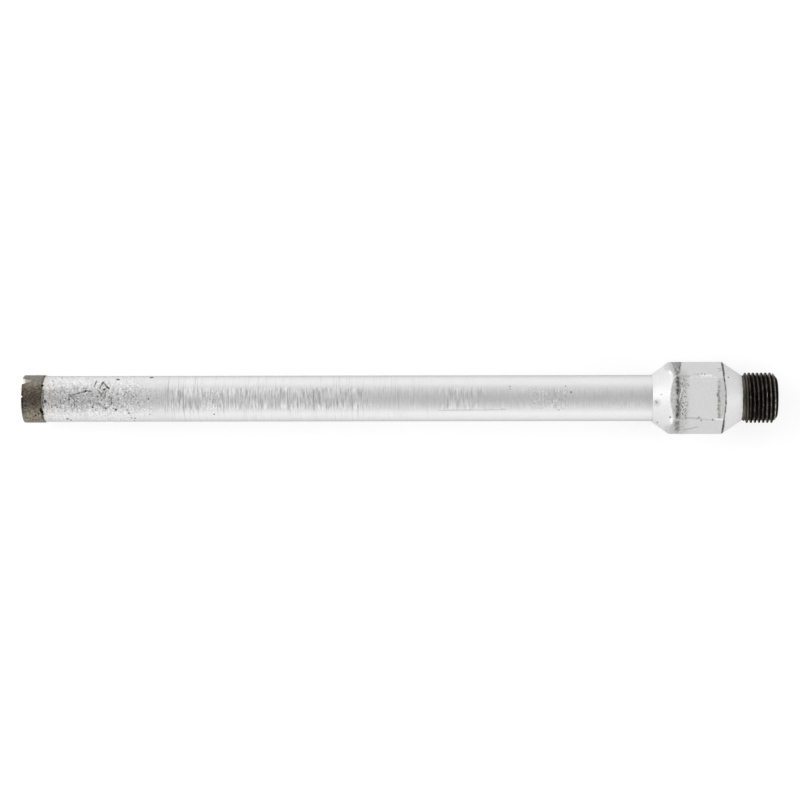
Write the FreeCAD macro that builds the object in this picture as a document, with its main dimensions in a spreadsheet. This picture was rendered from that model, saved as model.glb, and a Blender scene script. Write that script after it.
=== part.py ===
import FreeCAD, Part
import Sketcher
import os

# Diamond core bit, 20 mm, for wet drilling: a steel barrel with a sintered diamond ring
# at its tip and a hexagonal collar with a threaded nipple at its back end.
#
# Every piece is drawn on the bit's own axis, which is X, with the cutting tip at x = 0
# and the thread at the far end. At the end all pieces are tilted together, so that the
# bit lies the way it comes to rest on a bench: on the rim of its crown and on the lower
# flat of its collar. After that, +Z is up and z = 0 is the bench.

doc = FreeCAD.newDocument("core_bit")

# Driving dimensions, in millimetres and degrees

DIMENSIONS = [
    ("working_length", 300.0, "tip of the crown to the shoulder that the thread starts from"),
    ("crown_diameter", 20.0, "cutting diameter of the diamond ring"),
    ("crown_wall", 2.75, "thickness of the diamond ring"),
    ("crown_height", 9.0, "length of the diamond ring along the axis"),
    ("crown_bevel", 0.3, "broken outer edge of the cutting face"),
    ("notch_width", 3.6, "width of a water notch at the cutting face"),
    ("notch_depth", 4.5, "length of a water notch along the axis"),
    ("notch_angle", 47.5, "turn of the two notches about the axis, from straight up"),
    ("seam_thickness", 0.3, "silver solder between the crown and the barrel"),
    ("seam_stand_out", 0.25, "how far the solder stands proud of the barrel"),
    ("seam_run", 0.8, "length of barrel that the solder has run out over"),
    ("barrel_relief", 0.4, "how far the barrel stays back from the crown's outside, all round"),
    ("barrel_wall", 2.0, "wall of the steel barrel"),
    ("barrel_seat", 14.0, "length of barrel inside the collar"),
    ("solder_gap", 0.05, "gap all round between the collar's bore and what is soldered in it"),
    ("collar_length", 29.0, "lip of the collar to its back face"),
    ("collar_flats", 30.0, "width across the wrench flats"),
    ("collar_lip", 0.2, "wall of the collar at its lip"),
    ("lead_angle", 36.5, "slope of the collar's front cone, from the axis"),
    ("face_angle", 17.0, "slope of the chamfer on the collar's back face, from that face"),
    ("spigot_gap", 0.2, "gap between the barrel's end and the nipple's spigot, inside the collar"),
    ("shoulder_bevel", 0.25, "broken edge where the nipple's cone meets the collar"),
    ("cone_length", 8.4, "length of the nipple's cone"),
    ("cone_step", 0.15, "step all round from the cone's narrow end down to the neck"),
    ("neck_length", 1.0, "plain neck between the cone and the thread"),
    ("thread_diameter", 20.955, "outside diameter of the half-inch pipe thread"),
    ("thread_depth", 1.162, "depth of the thread, and so of the plain neck in front of it"),
    ("thread_length", 14.5, "shoulder to the back end of the nipple"),
    ("thread_run_in", 0.6, "length over which the thread comes up to its full height"),
    ("thread_chamfer", 1.9, "chamfer at the end of the thread"),
    ("water_bore", 12.0, "bore that feeds water through the nipple"),
    ("bore_bevel", 1.0, "bevel at the inner mouth of the water bore"),
]

sheet = doc.addObject("Spreadsheet::Sheet", "dims")
for row, (alias, value, meaning) in enumerate(DIMENSIONS, start=1):
    sheet.set(f"A{row}", meaning)
    sheet.set(f"B{row}", str(value))
    sheet.setAlias(f"B{row}", alias)
doc.recompute()

# Stations along the axis and radii, as expressions on the sheet

crown_radius = "(dims.crown_diameter / 2)"
crown_bore_radius = "(dims.crown_diameter / 2 - dims.crown_wall)"
barrel_radius = "(dims.crown_diameter / 2 - dims.barrel_relief)"
barrel_bore_radius = f"({barrel_radius} - dims.barrel_wall)"
seam_radius = f"({barrel_radius} + dims.seam_stand_out)"
socket_radius = f"({barrel_radius} + dims.solder_gap)"
lip_radius = f"({socket_radius} + dims.collar_lip)"
flat_radius = "(dims.collar_flats / 2)"
corner_radius = f"({flat_radius} / cos(30 deg))"
thread_radius = "(dims.thread_diameter / 2)"
neck_radius = f"({thread_radius} - dims.thread_depth)"
cone_end_radius = f"({neck_radius} + dims.cone_step)"
thread_end_radius = f"({thread_radius} - dims.thread_chamfer)"
water_radius = "(dims.water_bore / 2)"

barrel_start = "(dims.crown_height + dims.seam_thickness)"
shoulder = "dims.working_length"
collar_end = f"({shoulder} - dims.cone_length)"
collar_start = f"({collar_end} - dims.collar_length)"
barrel_end = f"({collar_start} + dims.barrel_seat)"
spigot_start = f"({barrel_end} + dims.spigot_gap)"
thread_start = f"({shoulder} + dims.neck_length)"
nipple_end = f"({shoulder} + dims.thread_length)"


def value_of(expression):
    """The number that an expression on the sheet gives now, in mm or degrees."""
    result = sheet.evalExpression(expression)
    return float(getattr(result, "Value", result))


def plane_of(body, role):
    """One of the body's own origin planes, found by its role."""
    for feature in body.Origin.OriginFeatures:
        if feature.Role == role:
            return feature
    raise ValueError(f"{body.Label} has no {role}")


def new_body(name):
    body = doc.addObject("PartDesign::Body", name)
    body.Label = name
    return body


def new_sketch(body, name, role):
    sketch = body.newObject("Sketcher::SketchObject", name)
    sketch.AttachmentSupport = [(plane_of(body, role), "")]
    sketch.MapMode = "FlatFace"
    return sketch


def pin_corner(sketch, line, kind, expression, value):
    """Hold one coordinate of the corner that a line starts from."""
    if expression == "0":
        axis = -2 if kind == "DistanceX" else -1
        sketch.addConstraint(Sketcher.Constraint("PointOnObject", line, 1, axis))
        return
    index = sketch.addConstraint(Sketcher.Constraint(kind, -1, 1, line, 1, value))
    sketch.setExpression(f"Constraints[{index}]", expression)


def outline(body, name, role, corners):
    """A closed outline of straight lines, each corner held by two expressions."""
    sketch = new_sketch(body, name, role)
    points = [FreeCAD.Vector(value_of(x), value_of(y), 0) for x, y in corners]
    following = points[1:] + points[:1]
    for start, end in zip(points, following):
        sketch.addGeometry(Part.LineSegment(start, end))
    for line in range(len(points)):
        next_line = (line + 1) % len(points)
        sketch.addConstraint(Sketcher.Constraint("Coincident", line, 2, next_line, 1))
    for line, (x, y) in enumerate(corners):
        pin_corner(sketch, line, "DistanceX", x, points[line].x)
        pin_corner(sketch, line, "DistanceY", y, points[line].y)
    doc.recompute()
    return sketch


def turn(body, name, corners, feature="PartDesign::Revolution"):
    """Turn an outline of (station, radius) corners about the bit's axis.

    A Revolution adds what the outline sweeps, a Groove cuts it away.
    """
    volume_before = body.Tip.Shape.Volume if body.Tip else 0
    sketch = outline(body, f"{name}_outline", "XZ_Plane", corners)
    turned = body.newObject(feature, name)
    turned.Profile = sketch
    turned.ReferenceAxis = (sketch, ["H_Axis"])
    turned.Angle = 360
    body.Tip = turned
    doc.recompute()
    removes = feature == "PartDesign::Groove"
    if (turned.Shape.Volume < volume_before) != removes:
        raise ValueError(f"{name} works the wrong way")
    return turned


# The diamond ring. It is pressed and sintered in one piece, then two water notches are cut
# through it, opposite each other, in one pass of the wheel.

def diamond_crown():
    body = new_body("diamond_crown")
    ring = turn(body, "crown_ring", [
        ("0", crown_bore_radius),
        ("0", f"{crown_radius} - dims.crown_bevel"),
        ("dims.crown_bevel", crown_radius),
        ("dims.crown_height", crown_radius),
        ("dims.crown_height", crown_bore_radius),
    ])
    # The vee starts one notch depth in front of the tip and keeps its slope up to there,
    # so that its sides run out of the ring cleanly.
    vee = outline(body, "notch_outline", "XY_Plane", [
        ("-dims.notch_depth", "-dims.notch_width"),
        ("dims.notch_depth", "0"),
        ("-dims.notch_depth", "dims.notch_width"),
    ])
    across = FreeCAD.Vector(1, 0, 0)
    vee.AttachmentOffset = FreeCAD.Placement(FreeCAD.Vector(), FreeCAD.Rotation(across, 1))
    vee.setExpression("AttachmentOffset.Rotation.Angle", "-dims.notch_angle")
    notches = body.newObject("PartDesign::Pocket", "water_notches")
    notches.Profile = vee
    notches.Type = "ThroughAll"
    notches.Midplane = True
    body.Tip = notches
    doc.recompute()
    if notches.Shape.Volume >= ring.Shape.Volume:
        raise ValueError("the water notches cut nothing")
    return body


# The seam of silver solder that holds the ring to the barrel's end. It has run out over
# the barrel's skin a little way, in a thin wedge against the back of the ring.

def solder_seam():
    body = new_body("solder_seam")
    turn(body, "seam_ring", [
        ("dims.crown_height", barrel_bore_radius),
        ("dims.crown_height", seam_radius),
        (f"{barrel_start} + dims.seam_run", barrel_radius),
        (barrel_start, barrel_radius),
        (barrel_start, barrel_bore_radius),
    ])
    return body


# The barrel, a plain length of precision steel tube, cut square at both ends.

def barrel_tube():
    body = new_body("barrel_tube")
    turn(body, "barrel_wall", [
        (barrel_start, barrel_bore_radius),
        (barrel_start, barrel_radius),
        (barrel_end, barrel_radius),
        (barrel_end, barrel_bore_radius),
    ])
    return body


# The collar. It is a length of hexagon bar, bored right through, with two opposite corners
# cut back to the width across the flats. Its front end is turned to a cone, which leaves
# the scalloped edges where the cone runs out on the flats.

def hex_collar():
    body = new_body("hex_collar")
    half_flat = f"({flat_radius} * tan(30 deg))"
    cut_height = f"({flat_radius} * (1 - cos(30 deg)) / sin(30 deg))"
    bar_outline = outline(body, "bar_outline", "YZ_Plane", [
        (half_flat, flat_radius),
        (flat_radius, cut_height),
        (flat_radius, f"-{cut_height}"),
        (half_flat, f"-{flat_radius}"),
        (f"-{half_flat}", f"-{flat_radius}"),
        (f"-{flat_radius}", f"-{cut_height}"),
        (f"-{flat_radius}", cut_height),
        (f"-{half_flat}", flat_radius),
    ])
    bar_outline.setExpression("AttachmentOffset.Base.z", collar_start)
    bar = body.newObject("PartDesign::Pad", "hexagon_bar")
    bar.Profile = bar_outline
    bar.setExpression("Length", "dims.collar_length")
    body.Tip = bar
    doc.recompute()

    # Both cones are cut by a triangle that reaches a little past the bar's corners.
    clear = f"({corner_radius} + dims.crown_bevel)"
    lead_reach = f"(({clear} - {lip_radius}) / tan(dims.lead_angle * 1 deg))"
    turn(body, "front_cone", [
        (collar_start, lip_radius),
        (f"{collar_start} + {lead_reach}", clear),
        (collar_start, clear),
    ], "PartDesign::Groove")
    face_reach = f"(({clear} - {flat_radius}) * tan(dims.face_angle * 1 deg))"
    turn(body, "back_chamfer", [
        (collar_end, flat_radius),
        (collar_end, clear),
        (f"{collar_end} - {face_reach}", clear),
    ], "PartDesign::Groove")

    bore_outline = new_sketch(body, "bore_outline", "YZ_Plane")
    bore_outline.setExpression("AttachmentOffset.Base.z", collar_start)
    circle = Part.Circle(FreeCAD.Vector(), FreeCAD.Vector(0, 0, 1), value_of(socket_radius))
    bore_outline.addGeometry(circle)
    bore_outline.addConstraint(Sketcher.Constraint("Coincident", 0, 3, -1, 1))
    radius = bore_outline.addConstraint(
        Sketcher.Constraint("Radius", 0, value_of(socket_radius)))
    bore_outline.setExpression(f"Constraints[{radius}]", socket_radius)
    solid_volume = body.Tip.Shape.Volume
    bore = body.newObject("PartDesign::Pocket", "through_bore")
    bore.Profile = bore_outline
    bore.Type = "ThroughAll"
    bore.Reversed = True
    body.Tip = bore
    doc.recompute()
    if bore.Shape.Volume >= solid_volume:
        raise ValueError("the bore cuts nothing")
    return body


# The nipple, turned in one piece: a spigot that is soldered into the collar's bore, a
# shoulder and cone, a plain neck, and the male pipe thread. Its thread is a plain cylinder
# here. Water comes in through it and goes down the barrel to the crown.

def threaded_nipple():
    body = new_body("threaded_nipple")
    turn(body, "nipple_body", [
        (spigot_start, f"{water_radius} + dims.bore_bevel"),
        (spigot_start, barrel_radius),
        (collar_end, barrel_radius),
        (collar_end, f"{flat_radius} - dims.shoulder_bevel"),
        (f"{collar_end} + dims.shoulder_bevel", flat_radius),
        (shoulder, cone_end_radius),
        (shoulder, neck_radius),
        (thread_start, neck_radius),
        (f"{thread_start} + dims.thread_run_in", thread_radius),
        (f"{nipple_end} - dims.thread_chamfer", thread_radius),
        (nipple_end, thread_end_radius),
        (nipple_end, water_radius),
        (f"{spigot_start} + dims.bore_bevel", water_radius),
    ])
    return body


# The rest position. The bit touches the bench at two places: the bevelled rim of the crown,
# and the lower flat where the collar's front cone runs out on it. That leans its axis by
# about one degree, with the tip down. The origin is the middle of the bit's box, on the
# bench.

flat_start = f"({collar_start} + ({flat_radius} - {lip_radius}) / tan(dims.lead_angle * 1 deg))"
lean = f"atan(({flat_radius} - {crown_radius}) / ({flat_start} - dims.crown_bevel))"
rise = f"{crown_radius} * cos({lean}) - dims.crown_bevel * sin({lean})"
tip_side = f"-({crown_radius} - dims.crown_bevel) * sin({lean})"
thread_side = f"({nipple_end} * cos({lean}) + {thread_end_radius} * sin({lean}))"


def lay_down(body):
    tip_down = FreeCAD.Vector(0, -1, 0)
    body.Placement = FreeCAD.Placement(FreeCAD.Vector(), FreeCAD.Rotation(tip_down, 1))
    body.setExpression("Placement.Rotation.Angle", lean)
    body.setExpression("Placement.Base.x", f"-({tip_side} + {thread_side}) / 2")
    body.setExpression("Placement.Base.z", rise)


pieces = [diamond_crown(), solder_seam(), barrel_tube(), hex_collar(), threaded_nipple()]
for piece in pieces:
    lay_down(piece)
doc.recompute()

# Every object has to be sound before anything is written.

for thing in doc.Objects:
    if "Invalid" in thing.State or "Error" in thing.State:
        raise ValueError(f"{thing.Label} did not compute: {thing.State}")
for piece in pieces:
    if piece.Shape.isNull() or not piece.Shape.isValid():
        raise ValueError(f"{piece.Label} has no valid shape")

os.makedirs("parts", exist_ok=True)
for piece in pieces:
    piece.Shape.exportStep(f"parts/{piece.Label}.step")
    box = piece.Shape.BoundBox
    print(f"{piece.Label}: {len(piece.Shape.Solids)} solid, {piece.Shape.Volume:.1f} mm3,"
          f" x {box.XMin:.2f} to {box.XMax:.2f}, y {box.YMin:.2f} to {box.YMax:.2f},"
          f" z {box.ZMin:.3f} to {box.ZMax:.3f}")
print(f"lean {value_of(lean):.4f} degrees")
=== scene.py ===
# %% [markdown]
# # A diamond core bit, dressed for the camera
# This lesson puts the looks on a core bit for wet drilling that was first made as a CAD model.
# The CAD model is the fixed frame. Each piece here is built in the same place as its solid.

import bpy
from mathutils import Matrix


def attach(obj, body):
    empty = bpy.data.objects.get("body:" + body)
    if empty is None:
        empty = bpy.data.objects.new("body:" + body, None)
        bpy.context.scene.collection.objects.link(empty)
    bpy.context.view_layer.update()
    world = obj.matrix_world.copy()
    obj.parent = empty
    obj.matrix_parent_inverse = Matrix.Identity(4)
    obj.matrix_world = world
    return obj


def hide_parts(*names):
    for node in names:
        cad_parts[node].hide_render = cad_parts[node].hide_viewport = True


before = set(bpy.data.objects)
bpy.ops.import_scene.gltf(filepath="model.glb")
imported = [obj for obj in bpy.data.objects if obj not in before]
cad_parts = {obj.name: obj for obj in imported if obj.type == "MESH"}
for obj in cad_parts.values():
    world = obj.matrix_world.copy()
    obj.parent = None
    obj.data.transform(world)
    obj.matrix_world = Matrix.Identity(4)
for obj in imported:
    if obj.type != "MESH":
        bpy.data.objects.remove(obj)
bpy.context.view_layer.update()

# %% [markdown]
# The bit lies on a bench. It rests on its crown and on one flat of its collar, so its axis climbs
# by about one degree from the crown to the thread. It is far easier to think along that axis,
# in millimetres, than in the room. So every mesh is worked out as x along the axis from the
# crown's face, y across and z up, and one function lays the points down on the bench.

# %% Lay a point of the bit down on the bench
import math

import bpy
import numpy as np
from mathutils import Vector, noise

LEAN = math.radians(1.0638273851820195)
START_X = -157.21247496675585
START_Z = 9.992706461008455
MM = 0.001


def lay(points):
    """Points along the axis, in millimetres, as points in the room, in metres."""
    x, y, z = np.moveaxis(np.asarray(points, float), -1, 0)
    room_x = START_X + x * math.cos(LEAN) - z * math.sin(LEAN)
    room_z = START_Z + x * math.sin(LEAN) + z * math.cos(LEAN)
    return MM * np.stack([room_x, y, room_z], axis=-1)


print("The thread's end lies at", lay([314.5, 0, 0]).round(4))

# %% [markdown]
# ## The camera
# The picture was taken from straight above with a long lens, a little more than a metre away.
# Lens, place and turn were fitted to the outline of the bit, so nothing is shifted afterwards.

# %% Camera
lens = bpy.data.cameras.new("photo_camera")
lens.lens = 122.17
lens.sensor_width = 36
camera = bpy.data.objects.new("photo_camera", lens)
camera.location = (0.01735, 0.00427, 1.14708)
camera.rotation_euler = [math.radians(turn) for turn in (-0.252, 0.848, -0.098)]
bpy.context.scene.collection.objects.link(camera)
bpy.context.scene.camera = camera
bpy.context.scene.view_settings.view_transform = "Standard"
print("Camera height", camera.location.z, "m, lens", lens.lens, "mm")

# %% [markdown]
# ## Tools for finishes
# A finish is a sum of many small masks. Written as nodes, such sums are long and hard to read.
# A small class holds one output of a node and knows Python's own operators, so that
# `1 - mask` adds the node that works it out. A second class holds the node tree, and every
# node that isn't a sum comes from its one method `node`.

# %% Sums that add their own nodes
def is_vector(term):
    """Whether a term of a sum has three parts."""
    if isinstance(term, Wire):
        return term.socket.type in ("VECTOR", "RGBA")
    return isinstance(term, (tuple, list, Vector))


class Wire:
    """One output of a node. A sum written with it adds the node that works it out."""

    def __init__(self, paint, socket):
        self.paint = paint
        self.socket = socket

    def work(self, operation, *terms):
        vector = any(is_vector(term) for term in terms)
        kind = "ShaderNodeVectorMath" if vector else "ShaderNodeMath"
        return self.paint.node(kind, {"operation": operation}, dict(enumerate(terms)))

    def __add__(self, other):
        return self.work("ADD", self, other)

    def __radd__(self, other):
        return self.work("ADD", other, self)

    def __sub__(self, other):
        return self.work("SUBTRACT", self, other)

    def __rsub__(self, other):
        return self.work("SUBTRACT", other, self)

    def __mul__(self, other):
        return self.work("MULTIPLY", self, other)

    def __rmul__(self, other):
        return self.work("MULTIPLY", other, self)

    def __truediv__(self, other):
        return self.work("DIVIDE", self, other)

    def dot(self, other):
        return self.work("DOT_PRODUCT", self, other)

    def length(self):
        return self.work("LENGTH", self)

    def size(self):
        return self.work("ABSOLUTE", self)

    def least(self, other):
        return self.work("MINIMUM", self, other)

    def most(self, other):
        return self.work("MAXIMUM", self, other)

    def between(self, low, high):
        """0 at low and 1 at high, with soft ends. High may be the lower number."""
        values = {"Value": self, "From Min": low, "From Max": high}
        return self.paint.node("ShaderNodeMapRange", {"interpolation_type": "SMOOTHSTEP"}, values)


print("Sums are ready")


# %% One method for every other node
class Paint:
    """A node tree, with one method that adds any node to it."""

    def __init__(self, tree):
        self.tree = tree
        tree.nodes.clear()

    def node(self, kind, settings, values, output=None):
        """Adds a node: its settings first, then the values or links of its sockets."""
        made = self.tree.nodes.new(kind)
        for name, value in settings.items():
            setattr(made, name, value)
        open_sockets = [socket for socket in made.inputs if socket.enabled]
        for key, value in values.items():
            found = open_sockets[key] if isinstance(key, int) else None
            for socket in open_sockets:
                if found is None and socket.name == key:
                    found = socket
            self.feed(found, value)
        outputs = [socket for socket in made.outputs if socket.enabled]
        named = [socket for socket in outputs if output in (None, socket.name)]
        return Wire(self, named[0]) if named else None

    def feed(self, socket, value):
        """Links a wire to a socket, or sets a number or a colour on it."""
        if isinstance(value, Wire):
            self.tree.links.new(value.socket, socket)
        elif not hasattr(socket.default_value, "__len__"):
            socket.default_value = value
        else:
            parts = value if hasattr(value, "__len__") else [value] * 3
            width = len(socket.default_value)
            socket.default_value = [*parts, 1][:width]

    def mix(self, share, low, high):
        """A colour between two colours."""
        values = {"Factor": share, "A": low, "B": high}
        return self.node("ShaderNodeMix", {"data_type": "RGBA"}, values)

    def grain(self, place, scale, detail=2.0, rough=0.5):
        """Soft noise from 0 to 1, about 0.5."""
        values = {"Vector": place, "Scale": scale, "Detail": detail, "Roughness": rough}
        return self.node("ShaderNodeTexNoise", {}, values)

    def cells(self, place, scale):
        """Distance to the nearest of many scattered points."""
        return self.node("ShaderNodeTexVoronoi", {}, {"Vector": place, "Scale": scale}, "Distance")


print("Nodes are ready")

# %% [markdown]
# ## Light
# The bit was lit softly from all sides, with the least light from straight above, where the
# camera stands. That is why the round barrel shows two bright bands and a greyer middle.
# The world is a plain sky that is bright at its rim, dimmer overhead and a touch brighter on the
# near side. A large soft lamp on the left and a weaker one on the right whiten the cones.

# %% Sky
SKY_RIM = 1.21
SKY_DROP = 0.98
SKY_SIDE = 0.1
world = bpy.data.worlds.new("studio")
world.use_nodes = True
bpy.context.scene.world = world
sky = Paint(world.node_tree)
direction = sky.node("ShaderNodeTexCoord", {}, {}, "Generated")
height = direction.dot((0, 0, 1)).most(0)
light = SKY_RIM - SKY_DROP * height * height - SKY_SIDE * direction.dot((0, 1, 0))
glow = sky.node("ShaderNodeBackground", {}, {"Color": light})
sky.node("ShaderNodeOutputWorld", {}, {"Surface": glow})
print("Sky from", SKY_RIM, "at the rim to", round(SKY_RIM - SKY_DROP, 2), "overhead")


# %% Lamps
def soft_lamp(name, place, width, length, radiance):
    """A large lamp that looks at the bit, as bright all over as radiance says."""
    data = bpy.data.lights.new(name, "AREA")
    data.shape = "RECTANGLE"
    data.size = width
    data.size_y = length
    data.energy = radiance * math.pi * width * length
    lamp = bpy.data.objects.new(name, data)
    lamp.location = place
    lamp.rotation_euler = (-Vector(place)).to_track_quat("-Z", "Y").to_euler()
    bpy.context.scene.collection.objects.link(lamp)
    print(name, "gives", round(data.energy, 2), "W")


soft_lamp("lamp_left", (-1.02, 0.24, 0.36), 0.6, 0.8, 5.6)
soft_lamp("lamp_right", (1.05, -0.12, 0.42), 0.6, 0.8, 2.3)

# %% [markdown]
# The bench is white. Seen by the camera, by gloss or through glass, it glows a little, so that it
# comes out white without more light on the bit, and the bit still drops a soft shadow on it.

# %% Bench
floor_mesh = bpy.data.meshes.new("bench")
reach = 4.0
corners = [(-reach, -reach, 0), (reach, -reach, 0), (reach, reach, 0), (-reach, reach, 0)]
floor_mesh.from_pydata(corners, [], [(0, 1, 2, 3)])
floor = bpy.data.objects.new("bench", floor_mesh)
bpy.context.scene.collection.objects.link(floor)

bench_material = bpy.data.materials.new("white_bench")
bench_material.use_nodes = True
bench = Paint(bench_material.node_tree)
camera_ray = bench.node("ShaderNodeLightPath", {}, {}, "Is Camera Ray")
glossy_ray = bench.node("ShaderNodeLightPath", {}, {}, "Is Glossy Ray")
glass_ray = bench.node("ShaderNodeLightPath", {}, {}, "Is Transmission Ray")
seen = camera_ray.most(glossy_ray).most(glass_ray)
fibre = bench.grain(bench.node("ShaderNodeTexCoord", {}, {}, "Object"), 9.0)
bench_values = {
    "Base Color": bench.mix(fibre, (0.48, 0.48, 0.48), (0.52, 0.52, 0.52)),
    "Roughness": 0.9,
    "Specular IOR Level": 0.1,
    "Emission Color": bench.mix(seen, (0, 0, 0), (0.585, 0.585, 0.585)),
    "Emission Strength": 1.0,
}
bench_shader = bench.node("ShaderNodeBsdfPrincipled", {}, bench_values)
bench.node("ShaderNodeOutputMaterial", {}, {"Surface": bench_shader})
floor_mesh.materials.append(bench_material)
print("Bench", 2 * reach, "m wide")

# %% [markdown]
# ## Tools for meshes
# All six pieces are turned or ringed shapes. Each is described by a closed outline of its wall,
# distance along the axis against distance from the axis, and the outline may differ from one
# angle to the next: that gives the notches of the crown and the flats of the collar.
# `walk` goes round such an outline, eases its corners and returns rows of points. `turned` adds
# the angles, and `shell` joins the rows to a closed mesh with no open edges.

# %% Walk round an outline
def spread(count):
    """Even shares from 0 to 1."""
    return np.linspace(0, 1, count + 1)


def crowded(count):
    """Shares from 0 to 1 that lie closer together at both ends."""
    return 0.5 - 0.5 * np.cos(math.pi * spread(count))


EASE_STEPS = 4


def walk(corners, rounds, shares):
    """Rows of (along, radius) round a closed outline. Corner i is eased over rounds[i]
    millimetres, and shares[i] divides the run from corner i to the next one."""
    count = len(corners)
    rows = []
    for i in range(count):
        here = corners[i]
        after = corners[(i + 1) % count]
        way = after - here
        length = np.maximum(np.hypot(way[0], way[1]), 1e-6)
        start = here + way * np.minimum(rounds[i] / length, 0.45)
        end = after - way * np.minimum(rounds[(i + 1) % count] / length, 0.45)
        run = [start + (end - start) * share for share in shares[i]]
        rows.extend(run)
        onward = corners[(i + 2) % count] - after
        onward_length = np.maximum(np.hypot(onward[0], onward[1]), 1e-6)
        leave = after + onward * np.minimum(rounds[(i + 1) % count] / onward_length, 0.45)
        if rounds[(i + 1) % count] > 0:
            for t in np.linspace(0, 1, EASE_STEPS + 1)[1:-1]:
                rows.append((1 - t) ** 2 * end + 2 * t * (1 - t) * after + t ** 2 * leave)
        else:
            rows.pop()
    return np.stack(rows)


print("Crowded shares:", crowded(4).round(2))


# %% Close rows of points to a shell
def outline(points, columns):
    """Corners of an outline, each number spread over all the columns of angles."""
    corners = [[np.broadcast_to(part, columns) for part in point] for point in points]
    return np.array(corners, float)


def turned(points, angle, rounds, shares):
    """Distance along, radius and angle of every point of a piece, from its outline."""
    rows = walk(outline(points, len(angle)), rounds, shares)
    x = rows[:, 0]
    return x, rows[:, 1], np.broadcast_to(angle, x.shape)


def shell(name, x, radius, angle):
    """A closed mesh through rows and columns of points. The last row joins the first."""
    points = np.stack([x, radius * np.sin(angle), radius * np.cos(angle)], axis=-1)
    rows, columns = x.shape
    here = np.arange(rows * columns).reshape(rows, columns)
    side = np.roll(here, -1, axis=1)
    faces = np.stack([here, np.roll(here, -1, axis=0), np.roll(side, -1, axis=0), side], axis=-1)
    faces = faces.reshape(-1, 4)
    flat = points.reshape(-1, 3)
    first, second, third = (flat[faces[:, k]] for k in (0, 1, 2))
    if np.einsum("ij,ij->", first, np.cross(second, third)) < 0:
        faces = faces[:, ::-1]
    mesh = bpy.data.meshes.new(name)
    mesh.from_pydata(lay(flat).tolist(), [], faces.tolist())
    mesh.shade_smooth()
    mesh.set_sharp_from_angle(angle=math.radians(32))
    piece = bpy.data.objects.new(name, mesh)
    bpy.context.scene.collection.objects.link(piece)
    print(name, "has", 2 * len(faces), "triangles")
    return piece


OCTAVES = 3


def bumps(x, radius, angle, size):
    """Smooth random heights, about -1 to 1, for every point of a piece."""
    points = np.stack([x, radius * np.sin(angle), radius * np.cos(angle)], axis=-1) / size
    flat = points.reshape(-1, 3).tolist()
    heights = [noise.fractal(point, 1.0, 2.0, OCTAVES) for point in flat]
    return np.array(heights).reshape(x.shape)


def smooth(value):
    """A soft step from 0 to 1."""
    value = np.clip(value, 0, 1)
    return value * value * (3 - 2 * value)


print("A soft step half way up:", smooth(np.array([0.5])))

# %% [markdown]
# ## The crown
# The cutting ring is pressed and sintered from metal powder with diamond grit in it. It has two
# opposite V notches that let the water out. A polar grid is used, and inside a notch its columns
# keep a fixed distance from the notch's middle, so that the flanks come out straight.
# The face is rounded by wear, one nick breaks it, and pits show where grit has fallen out.

# %% Columns of the crown
CROWN_RADIUS = 10.0
CROWN_BORE = 7.25
CROWN_LENGTH = 9.0
CROWN_FACE = 0.28
NOTCH_TURN = math.radians(48.2)
NOTCH_HALF = 1.65
NOTCH_DEPTH = 4.62

notch_offsets = np.linspace(-NOTCH_HALF, NOTCH_HALF, 27)
between_notches = spread(150)[1:-1]


def crown_angles(radius):
    """The angle of every column at each radius. Up is 0, and it grows towards +Y."""
    notch = np.arcsin(notch_offsets / radius)
    edge = np.arcsin(NOTCH_HALF / radius)
    arc = edge + between_notches * (math.pi - 2 * edge)
    half_turn = np.concatenate([notch, arc], axis=-1) + NOTCH_TURN
    return np.concatenate([half_turn, half_turn + math.pi], axis=-1)


angle_out = crown_angles(np.array([[CROWN_RADIUS]]))[0]
print("The crown has", len(angle_out), "columns")

# %% Outline of the crown
flank = 1 - np.abs(notch_offsets) / NOTCH_HALF
half_front = np.concatenate([NOTCH_DEPTH * flank, np.zeros(len(between_notches))])
crown_front = np.tile(half_front, 2) + CROWN_FACE


def solder_line(angle):
    """Where the crown ends and the solder begins, round the bit."""
    angle = (angle + math.pi) % (2 * math.pi) - math.pi
    tongue = smooth((0.33 - np.abs(angle + 0.02)) / 0.09)
    wave = 0.05 * np.sin(5 * angle + 1.0) + 0.04 * np.sin(11 * angle)
    return CROWN_LENGTH - 0.07 + 0.2 * np.sin(angle) ** 2 - 0.45 * tongue + wave


crown_back = solder_line(angle_out)
crown_corners = [
    (crown_front, CROWN_BORE), (crown_front, CROWN_RADIUS),
    (crown_back, CROWN_RADIUS), (crown_back, CROWN_BORE),
]
crown_shares = [spread(9), spread(62), spread(5), spread(16)]
crown_x, crown_r = turned(crown_corners, angle_out, [0.25, 0.35, 0.12, 0], crown_shares)[:2]
crown_angle = crown_angles(crown_r[:, :1])
print("Rows and columns of the crown:", crown_x.shape)


# %% Wear of the crown
def hollow(x, angle, radius, at, width):
    """1 in the middle of a hollow on the upper side and 0 beyond its width."""
    place = np.hypot(x - at[0], radius * np.sin(angle) - at[1])
    return smooth(1 - place / width) * (np.cos(angle) > 0)


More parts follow.
